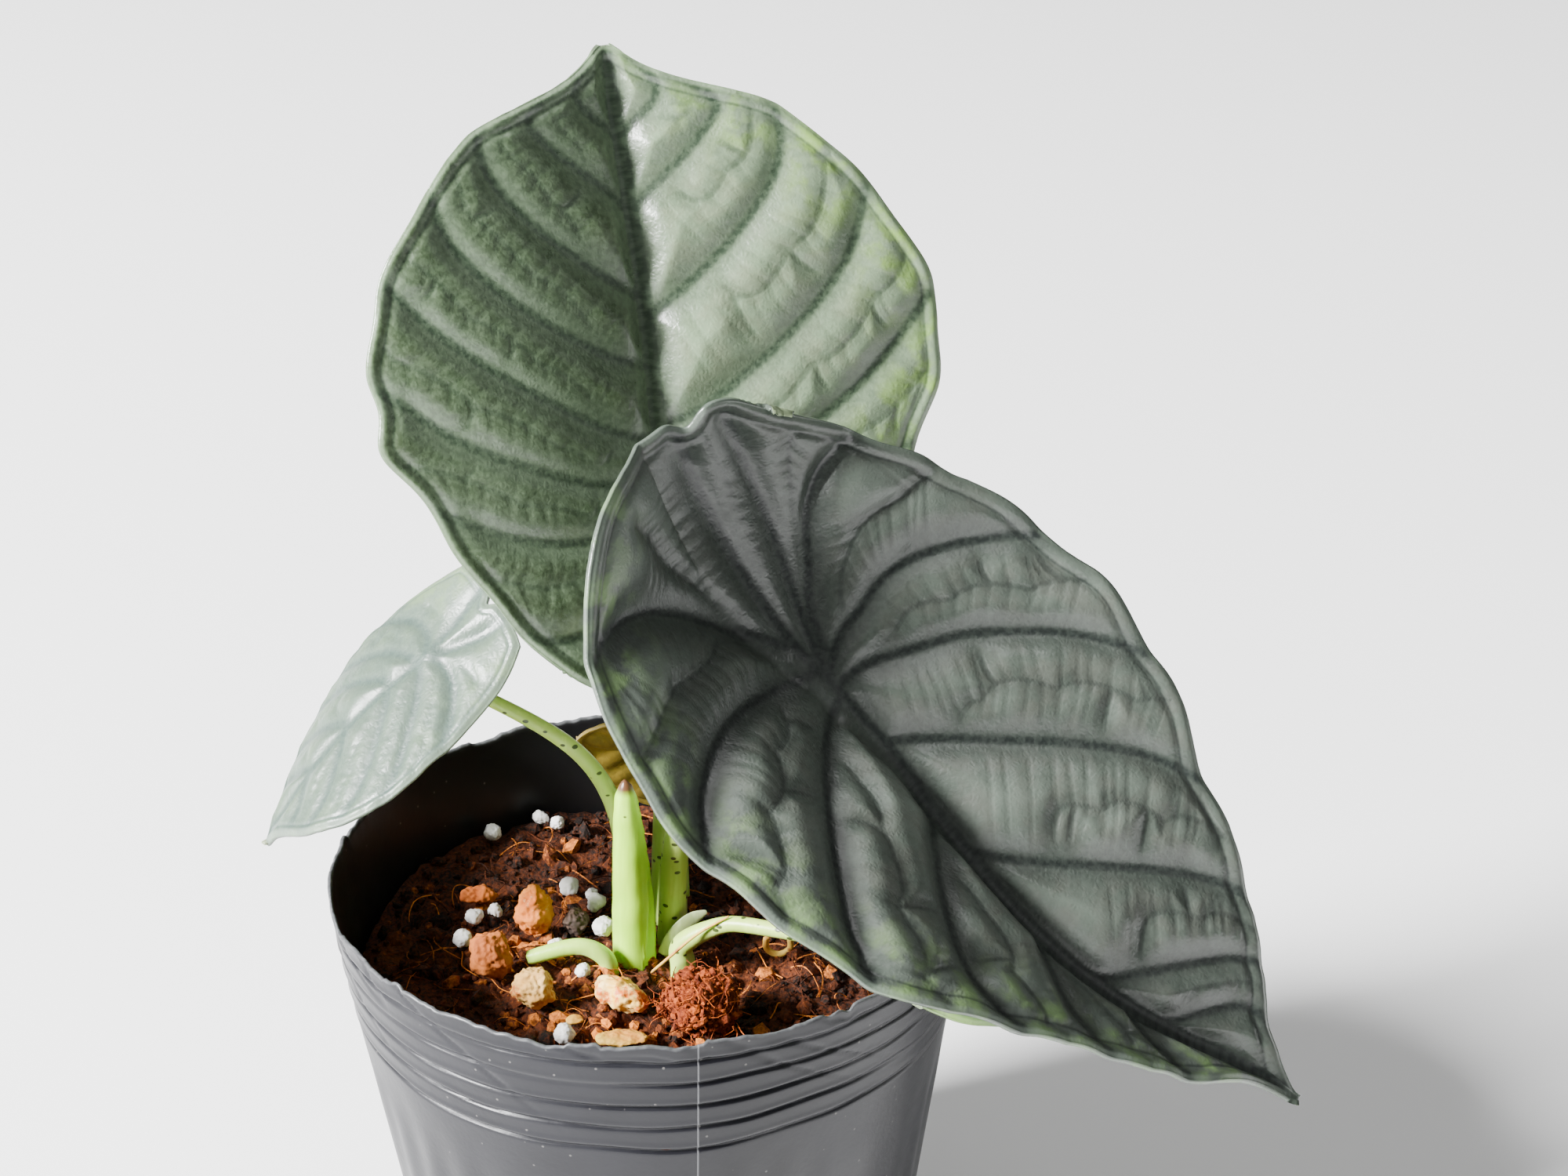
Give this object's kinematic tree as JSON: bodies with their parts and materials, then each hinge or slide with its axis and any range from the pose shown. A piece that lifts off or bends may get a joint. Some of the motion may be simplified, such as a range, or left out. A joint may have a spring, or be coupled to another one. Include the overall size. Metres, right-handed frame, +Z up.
{
  "type": "potted alocasia plant",
  "caption": "Young alocasia with puckered silver-green shield leaves on lime stems, growing in coir mix in a round black nursery pot.",
  "frame": {"origin": "centre of the underside of the pot, on the surface the pot stands on", "axes": "+Z up along the pot's axis; -Y is the plant's front, where the front leaf and the cut stem are; +X is its right side, where the front leaf's tip hangs"},
  "size_m": [0.1925, 0.133, 0.2498],
  "materials": {
    "pot_film": "thin black polythene, satin, ringed under the rim",
    "potting_mix": null,
    "perlite": "expanded perlite, off-white, stained by the mix",
    "husk_chip": "coconut husk and bark chunks, rough",
    "coir_fibre": "loose coconut fibre, rust orange",
    "old_corm": "old corm tissue, cream and yellow",
    "dry_scrap": "dry leaf and root scraps, tan",
    "leaf_silver_green": "living leaf, satin, silvery grey green, puckered",
    "leaf_grey_green": "living leaf, satin, dark grey green, puckered",
    "leaf_pale_green": "living leaf, satin, pale silver green",
    "leaf_yellowing": "old living leaf turning yellow",
    "leaf_stem": "living stem, lime green with dark speckles",
    "new_leaf": "rolled new leaf in its sheath, bright lime green",
    "old_sheath": "thin drying sheath, pale green with darker streaks"
  },
  "bodies": {
    "root": {"nursery_pot": "pot_film", "potting_mix": "potting_mix", "perlite_01": "perlite", "perlite_02": "perlite", "perlite_03": "perlite", "perlite_04": "perlite", "perlite_05": "perlite", "perlite_06": "perlite", "perlite_07": "perlite", "perlite_08": "perlite", "perlite_09": "perlite", "perlite_10": "perlite", "perlite_11": "perlite", "perlite_12": "perlite", "perlite_13": "perlite", "husk_chip_1": "husk_chip", "husk_chip_2": "husk_chip", "husk_chip_3": "husk_chip", "husk_chip_4": "husk_chip", "husk_chip_5": "husk_chip", "coir_clump": "coir_fibre", "old_corm_piece": "old_corm", "dry_flake_1": "dry_scrap", "dry_flake_2": "dry_scrap", "dry_curl": "dry_scrap", "dry_root": "dry_scrap", "leaf_blade_back": "leaf_silver_green", "leaf_blade_front": "leaf_grey_green", "leaf_blade_left": "leaf_pale_green", "leaf_blade_low": "leaf_grey_green", "leaf_blade_yellow": "leaf_yellowing", "stem_back": "leaf_stem", "stem_front": "leaf_stem", "stem_left": "leaf_stem", "stem_low": "leaf_stem", "stem_yellow": "leaf_stem", "new_leaf_spear": "new_leaf", "cut_stem_stub": "leaf_stem", "old_sheath": "old_sheath"}
  },
  "joints": []
}
